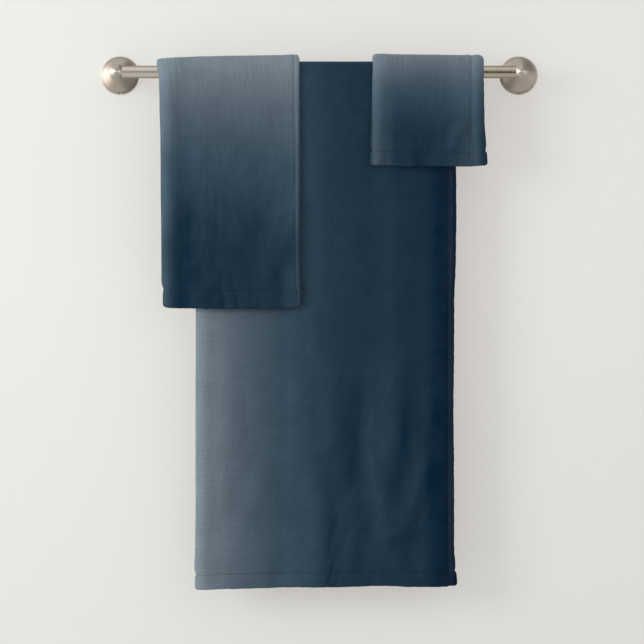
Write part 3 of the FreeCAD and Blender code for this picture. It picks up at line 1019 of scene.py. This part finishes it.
def paint_material(name, colour):
    """Matt paint with the faint stipple of a roller."""
    nodes = MaterialNodes(name)
    place = nodes.place()
    roller = nodes.noise(place, 260.0, detail=3.0)
    cloud = nodes.noise(place, 2.2)
    stipple, patches = nodes.spread(roller, 0.99, 1.01), nodes.spread(cloud, 0.985, 1.015)
    painted = nodes.shaded((*colour, 1.0), nodes.math("MULTIPLY", stipple, patches))
    nodes.bump(roller, distance=0.0004, strength=0.15)
    nodes.set(Base_Color=painted, Roughness=0.85, Specular_IOR_Level=0.2)
    return nodes


def wall_material():
    """A backdrop that glows a little, so shadows on it are faint, paler towards the window on the
    left. It is nothing at all from behind, so the fittings' backs show."""
    nodes = paint_material("wall_paint", WALL_PAINT)
    parts = nodes.split(nodes.place())
    across, down = nodes.carry(parts[0], *GLOW_FROM_LEFT), nodes.carry(parts[2], *GLOW_FROM_TOP)
    glow = nodes.shaded(WALL_GLOW, nodes.math("MULTIPLY", across, down))
    nodes.set(Emission_Color=glow, Emission_Strength=1.0)
    behind = nodes.add("ShaderNodeNewGeometry").outputs["Backfacing"]
    clear = nodes.add("ShaderNodeBsdfTransparent").outputs[0]
    shown = nodes.add("ShaderNodeMixShader", {0: behind, 1: nodes.shader.outputs[0], 2: clear})
    nodes.give(nodes.tree.nodes["Material Output"].inputs["Surface"], shown.outputs[0])
    return nodes.material


def build_room():
    """The wall, which neither lights the object nor shows in it nor shades it, and the floor."""
    width, deep, top, floor = WALL_HALF_WIDTH, FLOOR_DEPTH, WALL_TOP, FLOOR_HEIGHT
    wall_corners = [(-width, 0, floor), (width, 0, floor), (width, 0, top), (-width, 0, top)]
    wall = plane("wall", wall_corners, wall_material())
    wall.visible_diffuse = False
    wall.visible_glossy = False
    wall.visible_shadow = False
    near, far = [[(-width, y, floor), (width, y, floor)] for y in (-deep, deep)]
    floor_corners = near + far[::-1]
    floor_paint = paint_material("floor_paint", FLOOR_PAINT).material
    plane("floor", floor_corners, floor_paint).visible_glossy = False


def towards(nodes, direction, aim, edge):
    """0 to 1 as a direction nears an aim, between two cosines of the angle between them."""
    length = math.sqrt(sum(part * part for part in aim))
    aim = tuple(part / length for part in aim)
    near = nodes.add("ShaderNodeVectorMath", {0: direction, 1: aim}, operation="DOT_PRODUCT")
    return nodes.carry(near.outputs["Value"], *edge, kind="SMOOTHSTEP")


def build_world():
    """Soft studio light, brighter overhead. Metal also shows a window on the left, a dark doorway
    ahead of it to the right, a dark corner above that and the wall behind it."""
    world = bpy.data.worlds.new("studio")
    bpy.context.scene.world = world
    world.use_nodes = True
    nodes = Nodes(world.node_tree)
    direction = nodes.add("ShaderNodeTexCoord").outputs["Generated"]
    overhead = nodes.grey(nodes.carry(nodes.split(direction)[2], *OVERHEAD))
    reflected = overhead
    for colour, aim, edge in REFLECTIONS:
        reflected = nodes.mix(towards(nodes, direction, aim, edge), reflected, colour)
    flattened = nodes.stretch(direction, DOORWAY_STRETCH)
    away = nodes.add("ShaderNodeVectorMath", {0: flattened, 1: DOORWAY}, operation="DISTANCE")
    inside = nodes.carry(away.outputs["Value"], *DOORWAY_EDGE, kind="SMOOTHSTEP")
    reflected = nodes.mix(inside, reflected, DARK)
    path = nodes.add("ShaderNodeLightPath").outputs
    lit = nodes.mix(path["Is Glossy Ray"], overhead, reflected)
    background = nodes.tree.nodes["Background"]
    nodes.give(background.inputs["Color"], nodes.mix(path["Is Camera Ray"], lit, BACKDROP))
    nodes.give(background.inputs["Strength"], WORLD_STRENGTH)


def area_light(name, position, target, size, power, colour):
    data = bpy.data.lights.new(name, "AREA")
    data.shape = "SQUARE"
    data.size = size
    data.energy = power
    data.color = colour
    light = add_object(name, data)
    light.location = position
    light.rotation_euler = (Vector(target) - Vector(position)).to_track_quat("-Z", "Y").to_euler()


def build_camera():
    """Level with the middle of the photo and straight in front of the wall."""
    data = bpy.data.cameras.new("camera")
    data.lens = CAMERA_LENS
    camera = add_object("camera", data)
    camera.location = CAMERA_POSITION
    camera.rotation_euler = (math.pi / 2, 0.0, 0.0)
    bpy.context.scene.camera = camera


# ---- Putting it together


def keep_back_still(piece, front):
    """The back drop stays with the bar, although it hangs at the same height as the part that lifts."""
    weights = piece.data.attributes["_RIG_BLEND"].data
    values = np.empty(len(weights), np.float32)
    weights.foreach_get("value", values)
    weights.foreach_set("value", (values * front).astype(np.float32))


def hang_towel(style, material, thread):
    """Builds one towel with its stitching, in place of its CAD solids."""
    sheet = Sheet(style)
    cloth, cloth_front = towel_cloth(sheet, material)
    stitches, stitch_front = stitching(sheet, thread)
    if style.sideways:
        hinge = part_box("bath_towel_front_lower_face")[1][2]
        start, end = (0, sheet.bar_y, hinge), (0, sheet.bar_y, hinge - BATH_BEND)
    else:
        start, end = (0, sheet.bar_y, 0), (0, sheet.bar_y - BAR_BEND, 0)
    for piece, front in ((cloth, cloth_front), (stitches, stitch_front)):
        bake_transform(piece, style.name, style.front_body, start=start, end=end)
        if style.sideways:
            keep_back_still(piece, front)
    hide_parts(*[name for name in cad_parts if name.startswith(f"{style.name}_")])
    return cloth


def main():
    for name in ("Cube", "Light", "Camera"):
        if name in bpy.data.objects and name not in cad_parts:
            bpy.data.objects.remove(bpy.data.objects[name])
    finish_hardware()
    thread = thread_material()
    bath_cloth = cloth_material("bath_terry", across=420.0, along=330.0, rib_share=0.65, streak=0.18)
    hand_cloth = cloth_material("hand_terry", across=400.0, along=420.0, rib_share=0.2, streak=0.26)
    bath = hang_towel(BATH, bath_cloth, thread)
    for style, flat in ((HAND, (0.406, 0.737)), (WASH, (0.330, 0.330))):
        hang_towel(style, hand_cloth, thread)
    build_room()
    build_world()
    area_light(
        "key", position=(-3.3, -2.9, 0.5), target=(0.0, 0.0, -0.35),
        size=1.8, power=75.0, colour=(1.0, 0.99, 0.975),
    )
    area_light(
        "fill", position=(1.8, -4.4, 0.6), target=(0.0, 0.0, -0.4),
        size=2.4, power=14.0, colour=(0.98, 0.985, 1.0),
    )
    build_camera()
    bpy.context.scene.view_settings.view_transform = "Standard"


main()
